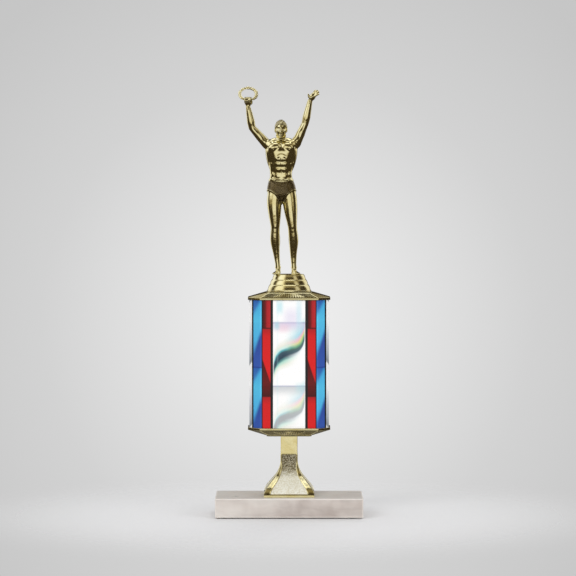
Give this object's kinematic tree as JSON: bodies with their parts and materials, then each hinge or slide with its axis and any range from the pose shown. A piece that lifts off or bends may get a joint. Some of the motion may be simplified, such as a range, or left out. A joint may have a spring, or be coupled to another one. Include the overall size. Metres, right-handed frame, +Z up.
{
  "type": "column trophy",
  "caption": "Victory trophy: marble slab, flared square riser, wide striped column between sloped caps, and a gold athlete raising a wreath on a stepped stand.",
  "frame": {"origin": "middle of the base at the surface it stands on", "axes": "+Z up along the tie rod, +X to the athlete's left hand, the open one, +Y to the back; the front faces -Y"},
  "size_m": [0.127, 0.0636, 0.3706],
  "materials": {
    "felt": "dark adhesive felt",
    "marble": "pale marble, polished, with faint brown veins",
    "zinc_steel": "zinc plated",
    "gold_plating": "vacuum-plated pale gold, mirror bright",
    "core_board": "plain wound board",
    "prismatic_film": "prismatic silver film with red, blue and black stripes"
  },
  "bodies": {
    "stack": {"felt_pads": "felt", "marble_slab": "marble", "slab_washer": "zinc_steel", "slab_nut": "zinc_steel", "tie_rod": "zinc_steel", "riser": "gold_plating", "lower_cap": "gold_plating", "column_core": "core_board", "column_film": "prismatic_film", "upper_cap": "gold_plating", "cap_washer": "zinc_steel", "cap_nut": "zinc_steel"},
    "figure": {"figure_stand": "gold_plating", "figure_nut": "zinc_steel", "figure": "gold_plating", "wreath": "gold_plating"}
  },
  "joints": [
    {"name": "figure_turn", "type": "hinge", "parent": "stack", "child": "figure", "pos_m": [0, 0, 0.19385], "axis": [0, 0, 1], "continuous": true}
  ]
}
